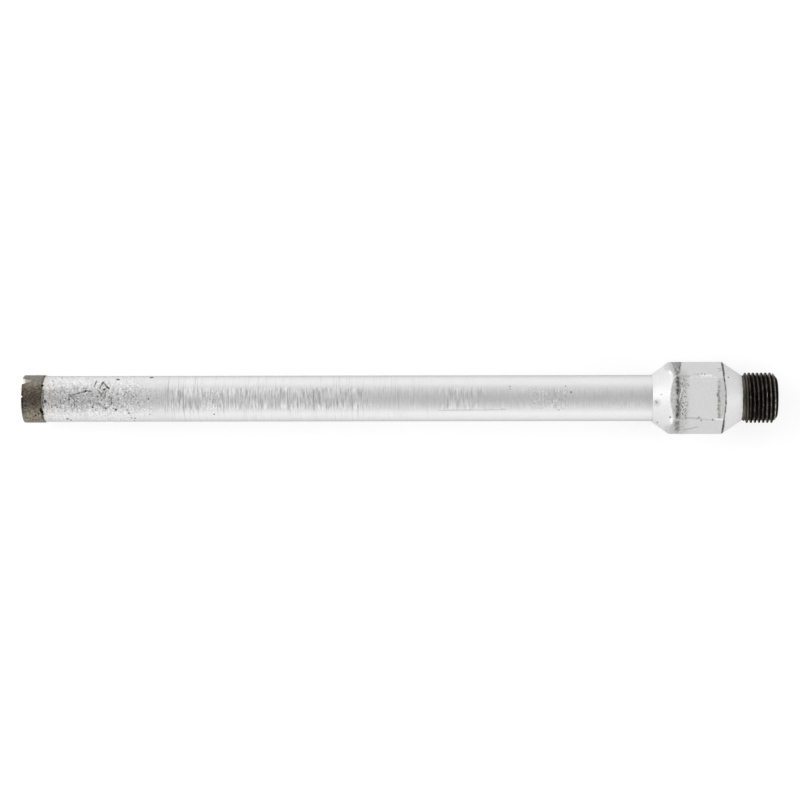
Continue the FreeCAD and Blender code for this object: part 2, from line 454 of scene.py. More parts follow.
outside = smooth((crown_r - 9.2) / 0.5)
fine = bumps(crown_x, crown_r, crown_angle, 0.45)
broad = bumps(crown_x, crown_r, crown_angle, 2.2)
crown_r = crown_r - outside * (0.03 + 0.03 * fine + 0.02 * broad)
crown_pits = [
    (6.03, -6.84, 0.5), (7.3, -6.2, 0.4), (2.2, -2.9, 0.4), (2.6, -4.4, 0.35), (5.4, -7.3, 0.4),
    (6.1, 6.0, 0.35), (3.6, 2.6, 0.3), (4.8, -0.9, 0.35), (7.6, 3.4, 0.3), (2.9, 0.8, 0.3),
]
for pit_x, pit_y, pit_width in crown_pits:
    crown_r -= 0.26 * outside * hollow(crown_x, crown_angle, crown_r, (pit_x, pit_y), pit_width)
crown_y = crown_r * np.sin(crown_angle)
nick = smooth((0.5 - np.abs(crown_y - 1.05)) / 0.3) * smooth((1.6 - crown_x) / 0.6)
nick = nick * (np.cos(crown_angle) > 0)
crown_x = crown_x + 0.5 * nick
crown_r -= 0.3 * nick * outside
crown_r = np.minimum(crown_r, CROWN_RADIUS)
crown = shell("crown_ring", crown_x, crown_r, crown_angle)

# %% [markdown]
# ## The solder
# The crown is soldered to the end of the barrel. The solder stands a little proud, ends in an
# uneven line, and on top of the bit a tongue of it runs over the crown. A few gaps are left
# open in it, where the flux has burnt out.

# %% Solder bead
SEAM_BORE = 7.65
SEAM_END = 9.31
bead_angle = np.linspace(0, 2 * math.pi, 361)[:-1]
bead_front = solder_line(bead_angle) + 0.01
bead_wave = 0.28 * np.sin(3 * bead_angle + 0.6) * np.cos(5 * bead_angle)
bead_end = 10.15 + bead_wave + 0.12 * np.sin(17 * bead_angle)
bead_corners = [
    (bead_front, SEAM_BORE), (bead_front, 9.93), (bead_end, 9.61),
    (bead_end, 9.45), (SEAM_END, 9.45), (SEAM_END, SEAM_BORE),
]
bead_shares = [spread(count) for count in (6, 16, 1, 2, 2, 2)]
bead_x, bead_r, bead_turn = turned(bead_corners, bead_angle, [0, 0.12, 0.06, 0, 0, 0], bead_shares)
proud = smooth((bead_r - 9.55) / 0.2)
bead_r = bead_r - proud * (0.03 + 0.06 * bumps(bead_x, bead_r, bead_turn, 0.9))
bead_gaps = [
    (8.99, 5.62, 0.6), (8.7, -4.4, 0.6), (9.0, -5.3, 0.6), (9.3, -6.1, 0.6),
    (9.95, -0.95, 0.85), (9.5, -0.2, 0.4),
]
for gap_x, gap_y, gap_width in bead_gaps:
    bead_r -= 0.5 * proud * hollow(bead_x, bead_turn, bead_r, (gap_x, gap_y), gap_width)
bead = shell("solder_bead", bead_x, bead_r, bead_turn)

# %% [markdown]
# ## The barrel
# The barrel is a plain steel tube, ground and painted silver. Near the crown it is scarred.
# The scars are cut into the mesh, so the grid is fine there and coarse along the rest.

# %% Scars of the barrel
BARREL_RADIUS = 9.6
BARREL_BORE = 7.6
BARREL_START = 9.35
BARREL_END = 276.6
deep_scars = [
    [(33.1, 4.3), (33.7, 5.9), (34.25, 7.0), (35.25, 5.9), (36.5, 4.5)],
    [(20.2, 1.9), (21.1, 1.3), (22.3, 1.7)],
    [(33.0, 2.8), (33.95, 1.5), (34.4, 2.6)],
]
fine_scars = [
    [(22.3, 1.7), (24.1, 2.3), (26.0, 2.75), (27.1, 3.2), (29.6, 3.1)],
    [(21.0, 1.2), (22.25, 0.1), (23.1, -1.1)],
    [(20.4, 0.5), (20.45, -0.5)],
    [(35.6, 2.9), (35.4, 1.0), (34.7, 0.3)],
    [(32.8, -2.0), (34.2, -2.9), (35.6, -3.9), (36.7, -3.2), (38.2, -1.6), (38.0, 0.4)],
    [(31.3, 7.4), (30.8, 5.2)],
]
scars = deep_scars + fine_scars


def near_scar(x, y, path):
    """Distance in the plan to a scar's path."""
    least = np.full(np.shape(x), 1e3)
    for (ax, ay), (bx, by) in zip(path, path[1:]):
        run = (bx - ax) ** 2 + (by - ay) ** 2
        share = np.clip(((x - ax) * (bx - ax) + (y - ay) * (by - ay)) / run, 0, 1)
        least = np.minimum(least, np.hypot(x - ax - share * (bx - ax), y - ay - share * (by - ay)))
    return least


print(len(scars), "scars, the longest with", max(len(path) for path in scars), "points")

# %% Barrel mesh
near_top = np.linspace(-68, 68, 96)
far_side = np.linspace(68, 292, 46)[1:-1]
barrel_angle = np.radians(np.concatenate([near_top, far_side]))
barrel_runs = np.concatenate([
    np.linspace(BARREL_START, 13.0, 10), np.linspace(13.25, 62.0, 196),
    np.linspace(63.0, BARREL_END, 80),
])
skin_shares = (barrel_runs - BARREL_START) / (BARREL_END - BARREL_START)
barrel_corners = [
    (BARREL_START, BARREL_BORE), (BARREL_START, BARREL_RADIUS),
    (BARREL_END, BARREL_RADIUS), (BARREL_END, BARREL_BORE),
]
barrel_shares = [spread(2), skin_shares, spread(2), spread(24)]
barrel_x, barrel_r, barrel_turn = turned(barrel_corners, barrel_angle, [0] * 4, barrel_shares)
skin = (barrel_r > 9.5) & (np.cos(barrel_turn) > 0.05)
barrel_y = barrel_r * np.sin(barrel_turn)
scar_depth = np.zeros(barrel_x.shape)
for path in scars:
    scar_depth = np.maximum(scar_depth, smooth(1 - near_scar(barrel_x, barrel_y, path) / 0.42))
barrel_r = barrel_r - 0.11 * scar_depth * skin
ripple = bumps(barrel_x, barrel_r, barrel_turn, 9.0)
barrel_r = barrel_r - np.where(barrel_r > 9.3, 0.012 * (1 + ripple), 0)
barrel_r = np.minimum(barrel_r, BARREL_RADIUS)
barrel = shell("barrel", barrel_x, barrel_r, barrel_turn)

# %% [markdown]
# ## The collar
# The collar is a hexagon with a turned cone in front. Where the cone cuts a flat it leaves an
# arc. The two corners at the sides are cut off. For each angle the outline is worked out anew:
# lip, cone, a blunter cone over the corners, flat, chamfer, end face and bore.

# %% Columns and outline of the collar
LIP_X = 262.6
COLLAR_END = 291.6
FLAT = 15.0
CUT_CORNER = 14.99
LIP_RADIUS = 9.85
COLLAR_BORE = 9.68
END_BULGE = 0.75
CONE_SLOPE = math.tan(math.radians(36.5))
BLUNT_SLOPE = math.tan(math.radians(55.0))
corner_turns = [-30, 30, 75, 105, 150, 210, 255, 285, 330]
collar_turns = []
for first_turn, next_turn in zip(corner_turns, corner_turns[1:]):
    collar_turns.append(first_turn + (next_turn - first_turn) * crowded(34)[:-1])
collar_angle = np.radians(np.concatenate(collar_turns))


def hexagon(angle):
    """Distance from the axis to the hexagon. Its corners are eased more as sharp gets smaller."""
    sharp = 90.0
    total = 0
    for turn in (0, 60, 120, 180, 240, 300):
        total = total + np.maximum(np.cos(angle - math.radians(turn)) / FLAT, 0) ** sharp
    for turn in (90, 270):
        total = total + np.maximum(np.cos(angle - math.radians(turn)) / CUT_CORNER, 0) ** sharp
    return total ** (-1 / sharp)


def on_top_flat(angle):
    """1 on the near flat and 0 on the others, with a soft step over its edges."""
    from_top = np.abs((angle + math.pi) % (2 * math.pi) - math.pi)
    return smooth(1.25 - from_top / math.radians(30))


hex_r = hexagon(collar_angle)
shoulder_x = LIP_X + (FLAT - LIP_RADIUS) / CONE_SLOPE
flat_start = shoulder_x + np.maximum(hex_r - FLAT, 0.02) / BLUNT_SLOPE
collar_end = COLLAR_END + END_BULGE * on_top_flat(collar_angle)
flat_end = collar_end - 0.05 - np.maximum(hex_r - FLAT, 0.0) * 0.42
print("Hexagon from", hex_r.min().round(2), "to", hex_r.max().round(2), "mm")

# %% Collar mesh
collar_corners = [
    (LIP_X, COLLAR_BORE), (LIP_X, LIP_RADIUS), (shoulder_x, FLAT - 0.02), (flat_start, hex_r),
    (flat_end, hex_r), (collar_end, FLAT - 0.12), (collar_end, COLLAR_BORE),
]
collar_rounds = [0, 0.06, 0.1, 0.16, 0.1, 0.05, 0]
collar_shares = [spread(count) for count in (2, 26, 5, 66, 3, 5, 16)]
collar_x, collar_r, collar_turn = turned(collar_corners, collar_angle, collar_rounds, collar_shares)
collar_skin = smooth((collar_r - 10.2) / 0.5) * (collar_x < COLLAR_END + 0.6)
collar_r = collar_r - 0.02 * smooth((collar_r - 13.5) / 0.5)
on_edge = smooth((collar_r - 16.7) / 0.45)
chips = np.maximum(bumps(collar_x, collar_r, collar_turn, 1.1) - 0.05, 0)
collar_r = collar_r - on_edge * np.minimum(0.5 * chips, 0.22)
collar_r = collar_r - collar_skin * 0.012 * (1 + bumps(collar_x, collar_r, collar_turn, 3.0))
collar = shell("wrench_collar", collar_x, collar_r, collar_turn)

# %% [markdown]
# ## The nipple
# The threaded end is one turned piece. Its cone was painted with the collar, and its thread was
# left bare, so two pieces stand for it: a painted sleeve and the dark steel inside it.

# %% Painted cone
CONE_END = 300.0
CONE_TIP = 9.4655
CONE_BORE = 9.02
NECK = 9.3155
cone_angle = np.linspace(0, 2 * math.pi, 241)[:-1]
top_part = on_top_flat(cone_angle)
cone_start = COLLAR_END + 0.02 + END_BULGE * top_part
cone_base = FLAT - 0.25 - 0.5 * top_part
paint_end = CONE_END - 0.3 + 0.05 * np.sin(7 * cone_angle) + 0.04 * np.sin(19 * cone_angle)
cone_corners = [
    (cone_start, CONE_BORE), (cone_start, cone_base), (cone_start + 0.25, cone_base + 0.06),
    (paint_end, CONE_TIP), (paint_end, CONE_BORE),
]
cone_shares = [spread(count) for count in (4, 2, 30, 2, 4)]
cone_x, cone_r, cone_turn = turned(cone_corners, cone_angle, [0, 0.05, 0.1, 0.05, 0], cone_shares)
cone_skin = smooth((cone_r - 9.3) / 0.3)
cone_r = cone_r - cone_skin * 0.012 * (1 + bumps(cone_x, cone_r, cone_turn, 3.0))
sleeve = shell("painted_cone", cone_x, cone_r, cone_turn)

# %% [markdown]
# The thread is a right-hand pipe thread, as close in its turns as the picture shows. Each point
# of a fine grid takes its height from its place along the helix. The first turn fades out at
# the neck, and a chamfer cuts the last ones.

# %% Thread
PITCH = 1.7
THREAD_RADIUS = 10.4775
THREAD_DEPTH = THREAD_RADIUS - NECK
CREST_AT = 306.35
THREAD_START = 300.3
THREAD_END = 314.5
CHAMFER_START = 312.6
SPIGOT_START = 276.9
SPIGOT_RADIUS = 9.55
INNER_RADIUS = 8.98
STEEL_START = CONE_END - 0.5
WATER_BORE = 6.0


def thread_height(x, angle):
    """From 0 in a root to 1 on a crest. A crest passes +Y at CREST_AT."""
    turns = (x - CREST_AT) / PITCH + (angle - math.pi / 2) / (2 * math.pi)
    ridge = np.abs(((turns + 0.5) % 1.0) - 0.5) * 2
    flank = np.clip((1 - ridge - 0.14) / 0.60, 0, 1)
    return 0.55 * flank + 0.45 * smooth(flank)


thread_angle = np.linspace(0, 2 * math.pi, 181)[:-1]
thread_corners = [
    (SPIGOT_START, WATER_BORE + 1), (SPIGOT_START, SPIGOT_RADIUS), (COLLAR_END, SPIGOT_RADIUS),
    (COLLAR_END, INNER_RADIUS), (STEEL_START, INNER_RADIUS), (STEEL_START, NECK),
    (THREAD_END, NECK), (THREAD_END, WATER_BORE), (SPIGOT_START + 1, WATER_BORE),
]
thread_shares = [spread(count) for count in (2, 6, 1, 4, 1, 236, 5, 18, 2)]
thread_x, thread_r, thread_turn = turned(thread_corners, thread_angle, [0] * 9, thread_shares)
fade = smooth((thread_x - THREAD_START) / 1.0)
ridges = NECK + THREAD_DEPTH * fade * thread_height(thread_x, thread_turn)
chamfer = np.minimum(ridges, THREAD_RADIUS - 1.3 * np.maximum(thread_x - CHAMFER_START, 0))
cut = (thread_r > NECK - 0.01) & (thread_x > STEEL_START - 0.05)
thread_r = np.where(cut, chamfer, thread_r)
end_face = (thread_x > THREAD_END - 0.01) & (thread_r > WATER_BORE + 0.05)
thread_r = np.where(end_face, np.minimum(thread_r, 8.01), thread_r)
thread = shell("pipe_thread", thread_x, thread_r, thread_turn)

# %% [markdown]
# ## Where on the bit a point is
# Every finish needs to know where it is along the axis, across it and above it. The meshes keep
# their place in their points, so the object coordinate is the place in the room. It is turned
# back to the axis here with dot products, and scaled to millimetres.

# %% Place on the bit
class Finish(Paint):
    """A material for this bit, which knows the place of a point on it."""

    def __init__(self, name):
        self.material = bpy.data.materials.new(name)
        self.material.use_nodes = True
        super().__init__(self.material.node_tree)
        room = self.node("ShaderNodeTexCoord", {}, {}, "Object")
        moved = room * 1000 - (START_X, 0, START_Z)
        self.along = moved.dot((math.cos(LEAN), 0, math.sin(LEAN)))
        self.up = moved.dot((-math.sin(LEAN), 0, math.cos(LEAN)))
        self.across = moved.dot((0, 1, 0))
        self.place = self.vector(self.along, self.across, self.up)
        self.plan = self.vector(self.along, self.across, 0)
        self.radius = self.vector(0, self.across, self.up).length()
        self.top = self.up.between(-0.5, 1.5)

    def vector(self, x, y, z):
        return self.node("ShaderNodeCombineXYZ", {}, {"X": x, "Y": y, "Z": z})

    def path(self, plan, points):
        """Distance in the plan to a line through points."""
        nearest = None
        for start, end in zip(points, points[1:]):
            run = Vector((*end, 0)) - Vector((*start, 0))
            from_start = plan - (*start, 0)
            share = from_start.dot(tuple(run / run.length_squared))
            share = self.node("ShaderNodeClamp", {}, {"Value": share})
            gap = (from_start - share * tuple(run)).length()
            nearest = gap if nearest is None else nearest.least(gap)
        return nearest

    def paths(self, plan, lines):
        """Distance in the plan to the nearest of several lines."""
        nearest = self.path(plan, lines[0])
        for line in lines[1:]:
            nearest = nearest.least(self.path(plan, line))
        return nearest

    def spots(self, place, places, tube=0):
        """Distance to the rim of the nearest of some round spots. They lie in the plan, or on
        the upper side of a tube with the given radius."""
        nearest = None
        for x, y, radius in places:
            height = math.sqrt(tube * tube - y * y) if tube else 0
            gap = (place - (x, y, height)).length() - radius
            nearest = gap if nearest is None else nearest.least(gap)
        return nearest

    def wobbled(self, start, amount, scale):
        """A place with a ragged error, which makes a straight line or a round spot look worn."""
        values = {"Vector": self.place, "Scale": scale, "Detail": 2.0}
        error = self.node("ShaderNodeTexNoise", {}, values, "Color")
        return start + (error - (0.5, 0.5, 0.5)) * (amount, amount, 0)

    def finish(self, piece, color, metallic, roughness, height, depth, extra=None):
        """Feeds the shader and puts the material on a piece. Depth is in metres."""
        bump_values = {"Strength": 1.0, "Distance": depth, "Height": height}
        bump = self.node("ShaderNodeBump", {}, bump_values)
        values = {"Base Color": color, "Metallic": metallic, "Roughness": roughness, "Normal": bump}
        values.update(extra or {})
        shader = self.node("ShaderNodeBsdfPrincipled", {}, values)
        self.node("ShaderNodeOutputMaterial", {}, {"Surface": shader})
        piece.data.materials.append(self.material)
        print("Finish", self.material.name, "uses", len(self.tree.nodes), "nodes")


# %% [markdown]
# ## Finish of the crown
# Sintered metal is a warm, dull grey with fine grain. Dressing leaves slanting marks, the grit
# shows as dark and light specks, and the rim of the face is darker. Slurry has dried to
# pale dust in the bore, and left a grey film towards +Y.

# %% Crown finish
matrix = Finish("diamond_matrix")
slant = matrix.vector(
    (matrix.along + matrix.across) * 1.6, (matrix.along - matrix.across) * 0.5, matrix.up * 0.4,
)
counter = matrix.vector(
    (matrix.along - matrix.across) * 1.6, (matrix.along + matrix.across) * 0.4, matrix.up * 0.4,
)
hatch = 0.6 * matrix.grain(slant, 1.0, 3.0, 0.65) + 0.4 * matrix.grain(counter, 1.0, 2.0, 0.6)
mottle = matrix.grain(matrix.place, 0.35, 3.0, 0.6)
powder = matrix.grain(matrix.place, 1.6, 3.0, 0.7)
tone = 1 + 4.4 * (hatch - 0.5) + 1.6 * (powder - 0.5) + 0.8 * (mottle - 0.5)
warm = matrix.mix(mottle, (0.197, 0.168, 0.124), (0.218, 0.192, 0.152))
# Painted shade: the crown is darker along the middle of its top.
painted_shade_top = matrix.across.size().between(6.6, 5.2) * matrix.top
body = warm * tone * (1 - 0.2 * painted_shade_top)
film = matrix.across.between(5.2, 7.4) * matrix.top
body = matrix.mix(film * 0.35, body, (0.245, 0.238, 0.222))
speck = matrix.cells(matrix.place, 0.9).between(0.34, 0.16) * powder.between(0.46, 0.56)
body = matrix.mix(speck * 0.85, body, (0.06, 0.048, 0.035))
glint = matrix.cells(matrix.place + (3.7, 1.1, 5.3), 0.8).between(0.24, 0.1)
body = matrix.mix(glint * 0.6, body, (0.5, 0.45, 0.38))
print("The matrix has its grain")

# %% Dark marks on the crown
pit_mask = matrix.spots(matrix.place, crown_pits[:3], 9.9).between(0.1, -0.2)
body = matrix.mix(pit_mask, body, (0.03, 0.02, 0.012))
rim = matrix.along.between(1.4, 1.0) * matrix.radius.between(8.6, 9.2)
rim = rim * matrix.across.size().between(7.6, 6.6) * (0.3 + 0.9 * powder.between(0.42, 0.56))
rim = rim * (0.4 + 0.6 * matrix.across.between(-4.9, -4.4) * matrix.across.between(3.8, 2.8))
body = matrix.mix(rim, body, (0.02, 0.016, 0.013))
# Painted shadow: a dark band on the crown just before the solder.
back = matrix.along.between(8.1, 8.8) * matrix.radius.between(9.0, 9.5) * mottle.between(0.4, 0.6)
body = matrix.mix(back * 0.8, body, (0.05, 0.042, 0.035))
burnt_line = [(8.4, -4.4), (8.5, -5.2), (9.15, -6.3)]
burnt_spots = [(8.75, 5.55, 0.4), (8.9, 9.4, 0.3), (8.4, 0.6, 0.3)]
burnt = matrix.path(matrix.plan, burnt_line).between(0.55, 0.3)
burnt = burnt.most(matrix.spots(matrix.place, burnt_spots, 9.9).between(0.12, -0.1)) * matrix.top
body = matrix.mix(burnt, body, (0.008, 0.007, 0.005))
sideways = matrix.across * math.cos(NOTCH_TURN) - matrix.up * math.sin(NOTCH_TURN)
notch_wall = NOTCH_HALF * (1 - (matrix.along - CROWN_FACE) / NOTCH_DEPTH) - sideways.size()
in_notch = notch_wall.between(-0.14, 0.0) * matrix.along.between(5.1, 4.8)
# Painted shadow: a dark line along one edge of the notches.
lip = notch_wall.between(-0.5, -0.2) * sideways.between(0.1, -0.1) * matrix.along.between(5.3, 4.9)
body = matrix.mix(lip * 0.75, body, (0.02, 0.016, 0.012))
dust = matrix.radius.between(8.3, 7.35) * matrix.along.between(0.3, 0.9) * mottle.between(0.3, 0.7)
dust = dust.most(in_notch * 0.85)
pale_fill = matrix.mix(powder, (0.36, 0.33, 0.28), (0.6, 0.56, 0.49))
# In the notches, close to the face, the flanks are near white.
pale_fill = matrix.mix(matrix.along.between(1.5, 0.95) * in_notch, pale_fill, (0.96, 0.96, 0.95))
body = matrix.mix(dust, body, pale_fill)
dim_edge = {"Specular Tint": (0.66, 0.69, 0.74)}
crown_relief = hatch + powder + speck * 0.8
dull_crown = 0.24 + 0.14 * powder
matrix.finish(crown, body, 0.97 - 0.9 * dust, dull_crown, crown_relief, 0.00003, dim_edge)

# %% [markdown]
# ## Finish of the solder
# Silver solder keeps a soft bright skin, with burnt flux in its gaps. It is dull on the tongue,
# and towards the sides the brown of the crown runs over its front edge.

# %% Solder finish
solder = Finish("silver_solder")
clouds = solder.grain(solder.place, 0.9, 3.0, 0.6)
skin_grain = solder.grain(solder.place, 2.2, 2.0, 0.6)
bright = solder.mix(clouds, (0.55, 0.54, 0.52), (0.8, 0.795, 0.78))
from_middle = solder.across.size()
on_tongue = from_middle.between(4.6, 3.2) * solder.top
dull_tongue = on_tongue * solder.along.between(10.2, 9.75) * (0.8 + 3.0 * (skin_grain - 0.5))
bright = solder.mix(dull_tongue, bright, (0.1, 0.097, 0.085))
brown_end = 9.0 + 0.32 * from_middle.between(6.5, 7.1) + 0.4 * from_middle.between(8.4, 9.5)
brown_end = brown_end + 0.25 * (solder.across - 4.5).size().between(1.0, 0.6) + 0.3 * (clouds - 0.5)
brown = (brown_end - solder.along).between(-0.1, 0.06) * solder.top
bright = solder.mix(brown, bright, (0.19, 0.165, 0.125))
# Painted shadow: a dark line on the tongue, just behind the crown's back edge.
front_line = solder.along.between(8.85, 8.55) * on_tongue
burnt = solder.path(solder.plan, burnt_line).between(0.6, 0.35)
burnt = burnt.most(solder.spots(solder.place, bead_gaps, 9.8).between(0.1, -0.2)) * solder.top
bright = solder.mix(burnt.most(front_line * 0.9), bright, (0.01, 0.009, 0.007))
bare_solder = 0.6 - 0.6 * burnt.most(brown)
solder.finish(bead, bright, bare_solder, 0.32 + 0.2 * skin_grain, clouds + skin_grain, 0.0002)

# %% [markdown]
# ## Finish of the barrel
# The silver paint on the barrel is half metal, half pigment, and that gives the two bright bands.
# Under it show the fine rings of the grinder. Near the crown the paint is speckled and spotted,
# and the scars are dark.

# %% Barrel finish
silver = Finish("barrel_silver")
around = silver.vector(silver.along * 3.0, silver.across * 0.05, silver.up * 0.05)
rings = silver.grain(around, 1.0, 4.0, 0.7)
ring_zone = silver.along.between(45, 70) * silver.along.between(190, 150)
mask_band = silver.along.between(57, 60) * silver.along.between(77, 72)
patchy = silver.grain(silver.place, 0.16, 3.0, 0.6)
from_middle = silver.across.size()
middle = from_middle.between(7.6, 3.4)
near_crown = silver.along.between(66, 36)
band = from_middle.between(5.2, 3.6) * silver.top
spotted_run = silver.along.between(75, 78) * silver.along.between(87, 83)
spotted_run = spotted_run.most(silver.along.between(211, 214) * silver.along.between(229, 226))
speckled = (near_crown * (0.35 + 0.65 * middle)).most(band * spotted_run * 0.4)
fleck = silver.grain(silver.place, 1.35, 3.0, 0.8)
paint = silver.mix(patchy, (0.725, 0.725, 0.722), (0.785, 0.785, 0.785))
smear = silver.vector(silver.along * 1.3, silver.across * 0.5, silver.up * 0.5)
smear = silver.grain(smear, 1.0, 2.0, 0.6)
greyer = 0.14 * silver.along.between(46, 24) + 0.08 * silver.along.between(66, 50)
paint = paint * (1 - middle * greyer)
speckle = 2.6 * (fleck - 0.5) + 1.4 * (smear - 0.5) + 0.5 * (rings - 0.5)
paint = paint * (1 + speckled * speckle) * (0.9 + 0.2 * fleck)
print("Barrel paint begun")

# %% [markdown]
# Handling has rubbed streaks round the middle of the barrel, and the ground rings show through.
# The two bright bands get a little painted highlight here, and the sides a little painted shade, as in
# the picture.

# %% Rubbed streaks, bands and specks
HIGHLIGHT_LIFT = 0.07
SHADE_DROP = 0.12
rubbed_run = silver.along.between(58, 64) * silver.along.between(152, 138)
rubbed_run = rubbed_run.most(0.7 * silver.along.between(171, 176) * silver.along.between(196, 190))
rubbed_run = rubbed_run.most(0.25)
strokes = silver.vector(silver.along * 1.7, silver.across * 0.2, silver.up * 0.2)
strokes = silver.grain(strokes, 1.0, 2.0, 0.6)
paint = paint * (1 + 1.75 * band * rubbed_run * (strokes - 0.5))
ground = ring_zone * 0.35 * rings.between(0.5, 0.75) + mask_band * 0.25 * rings.between(0.5, 0.7)
paint = paint * (1 - ground * (0.4 + 0.6 * middle))
# Painted highlight on the two bright bands, painted shade on the greyer sides.
painted_highlight_band = from_middle.between(4.2, 6.4) * from_middle.between(9.0, 8.2)
painted_highlight_band = painted_highlight_band * silver.along.between(58, 70)
painted_shade_side = from_middle.between(8.9, 9.5) * silver.top
paint = paint * (1 + HIGHLIGHT_LIFT * painted_highlight_band) * (1 - SHADE_DROP * painted_shade_side)
warm_end = silver.along.between(16, 10)
paint = silver.mix(warm_end * 0.2, paint, (0.6, 0.54, 0.5))
dots = silver.cells(silver.place, 0.8)
dot_pick = silver.grain(silver.place, 0.6, 0.0)
peppered = dots.between(0.27, 0.15) * dot_pick.between(0.5, 0.6) * speckled
paint = silver.mix(peppered * 0.9, paint, (0.16, 0.16, 0.155))
flash = silver.cells(silver.place + (4.1, 2.3, 0.7), 0.8).between(0.28, 0.12)
flash = flash * dot_pick.between(0.5, 0.4)
paint = silver.mix(flash * speckled * 0.8, paint, (0.97, 0.97, 0.97))
print("Barrel paint done")

# %% Marks of the barrel
ragged = silver.wobbled(silver.plan, 0.95, 1.3)
scar_mask = 0 * silver.top
for group, widest in ((deep_scars, 0.62), (fine_scars, 0.42)):
    gap = silver.paths(ragged, group) - 1.2 * (smear - 0.5)
    scar_mask = scar_mask.most(gap.between(widest, 0.12))
scar_mask = scar_mask * (0.25 + 0.75 * fleck.between(0.4, 0.52)) * silver.top
scar_mask = scar_mask * (1 - 0.45 * silver.across.between(0.2, -1.2))
barrel_spots = [
    (35.07, 3.91, 0.48), (36.71, 4.45, 0.46), (36.04, 4.95, 0.36), (34.25, 6.83, 0.4),
    (27.17, 3.3, 0.4), (26.26, 4.47, 0.26), (27.39, 4.46, 0.22), (30.07, -3.45, 0.4),
    (12.93, -3.42, 0.24), (14.57, -2.51, 0.24), (15.35, -3.55, 0.22), (18.37, -5.02, 0.22),
    (18.91, -8.42, 0.5), (20.24, -8.85, 0.5), (39.7, 8.15, 0.4), (40.3, 8.1, 0.6),
    (54.15, 8.93, 0.75), (39.73, -4.55, 0.46), (38.82, -3.92, 0.24), (44.4, -4.72, 0.26),
    (45.03, -5.98, 0.36), (35.6, -3.91, 0.3), (32.85, -2.03, 0.26), (32.26, 1.0, 0.26),
    (33.04, 2.79, 0.28), (33.93, -0.45, 0.28), (37.35, 1.0, 0.24), (38.21, -1.63, 0.28),
    (49.15, -1.52, 0.22), (45.87, -8.0, 0.3), (47.32, -8.09, 0.32), (46.74, -9.2, 0.4),
    (53.62, -6.54, 0.2), (45.76, 3.27, 0.2), (47.07, 0.98, 0.22), (43.31, 1.4, 0.2),
    (53.55, -0.07, 0.28), (22.6, -2.52, 0.26), (18.46, -1.05, 0.22), (20.35, -0.22, 0.26),
    (23.91, 0.19, 0.22), (16.52, 8.75, 0.36), (13.1, 7.49, 0.28), (10.35, -0.95, 0.6),
    (80.6, -6.5, 0.26), (203.7, 5.0, 0.2), (203.7, 3.8, 0.2), (226.6, 5.0, 0.22),
    (228.9, 2.5, 0.25), (223.9, -4.9, 0.2),
]
ragged_place = silver.wobbled(silver.place, 0.8, 1.3)
spot_mask = silver.spots(ragged_place, barrel_spots, BARREL_RADIUS).between(0.18, -0.08)
thin_line = silver.path(ragged, [(174.0, -5.0), (193.7, -4.8), (202.0, -4.6)]).between(0.3, 0.1)
paint = silver.mix(thin_line * 0.4 * silver.top, paint, (0.3, 0.3, 0.3))
strokes_at = [[(122.3, 3.6), (122.3, -4.8)], [(124.6, 3.2), (124.6, -2.2)], [(66.4, 3.2), (66.4, -1.6)]]
dark_strokes = silver.paths(ragged, strokes_at).between(0.5, 0.1) * silver.top
paint = silver.mix(dark_strokes * 0.45, paint, (0.2, 0.2, 0.2))
paint = silver.mix(scar_mask * 0.9, paint, (0.06, 0.06, 0.055))
paint = silver.mix(spot_mask * 0.92, paint, (0.035, 0.035, 0.03))
in_bore = silver.radius.between(8.6, 8.0)
paint = silver.mix(in_bore, paint, silver.mix(patchy, (0.2, 0.17, 0.15), (0.3, 0.27, 0.25)))
dull = (0.36 + 0.1 * patchy + 0.3 * ring_zone * rings.between(0.5, 0.75)).least(0.9)
lumps = rings * (0.25 + ring_zone) + fleck * near_crown * 1.2
dim_rim = {"Specular Tint": (0.5, 0.5, 0.5), "Specular IOR Level": 0.2}
marks = scar_mask.most(spot_mask)
silver.finish(barrel, paint, 0.66 - 0.56 * marks, dull, lumps, 0.00004, dim_rim)

# %% [markdown]
# ## Finish of the collar and the cone
# Here the silver paint is thicker and more matt. Its edges are worn bright, oil has left a
# black-green band where a strap was wound round it, and dirt sits along the joint.

# %% Painted base for the collar and the cone
def matt_silver(name):
    """The matt silver paint: the finish, its colour, its soft noise and its skin."""
    coat = Finish(name)
    cloud = coat.grain(coat.place, 0.22, 3.0, 0.6)
    skin = coat.grain(coat.place, 1.2, 3.0, 0.7)
    color = coat.mix(cloud, (0.68, 0.68, 0.678), (0.72, 0.72, 0.72))
    color = color * (0.86 + 0.28 * skin)
    return coat, color, cloud, skin


def joint_bulge(coat):
    """How far the joint stands beyond the collar's plain end. It bulges on the near flat."""
    return END_BULGE * coat.across.size().between(10.6, 2.0) * coat.top


dim_paint = {"Specular IOR Level": 0.08, "Specular Tint": (0.5, 0.5, 0.5)}
print("The matt paint is ready")

# %% Collar finish
coat, color, cloud, skin = matt_silver("collar_silver")
rough_plan = coat.wobbled(coat.plan, 0.9, 0.9)
fine_plan = coat.wobbled(coat.plan, 0.5, 2.6)
chip = coat.grain(coat.place, 1.6, 3.0, 0.75)
edge = coat.radius.between(17.0, 17.14) * coat.along.between(271, 274)
bare_run = (coat.along - 284.5).size().between(7.6, 5.5)
bare = edge * chip.between(0.42, 0.56) * (0.3 + 0.7 * bare_run)
color = coat.mix(bare * 0.55, color, (0.95, 0.95, 0.94))
color = coat.mix(edge * chip.between(0.42, 0.34) * 0.6, color, (0.3, 0.3, 0.29))
low_edge = coat.path(fine_plan, [(280.0, -8.5), (290.7, -9.5)]).between(0.3, 0.1)
color = coat.mix(low_edge * chip.between(0.4, 0.55) * 0.5 * coat.top, color, (0.2, 0.2, 0.19))
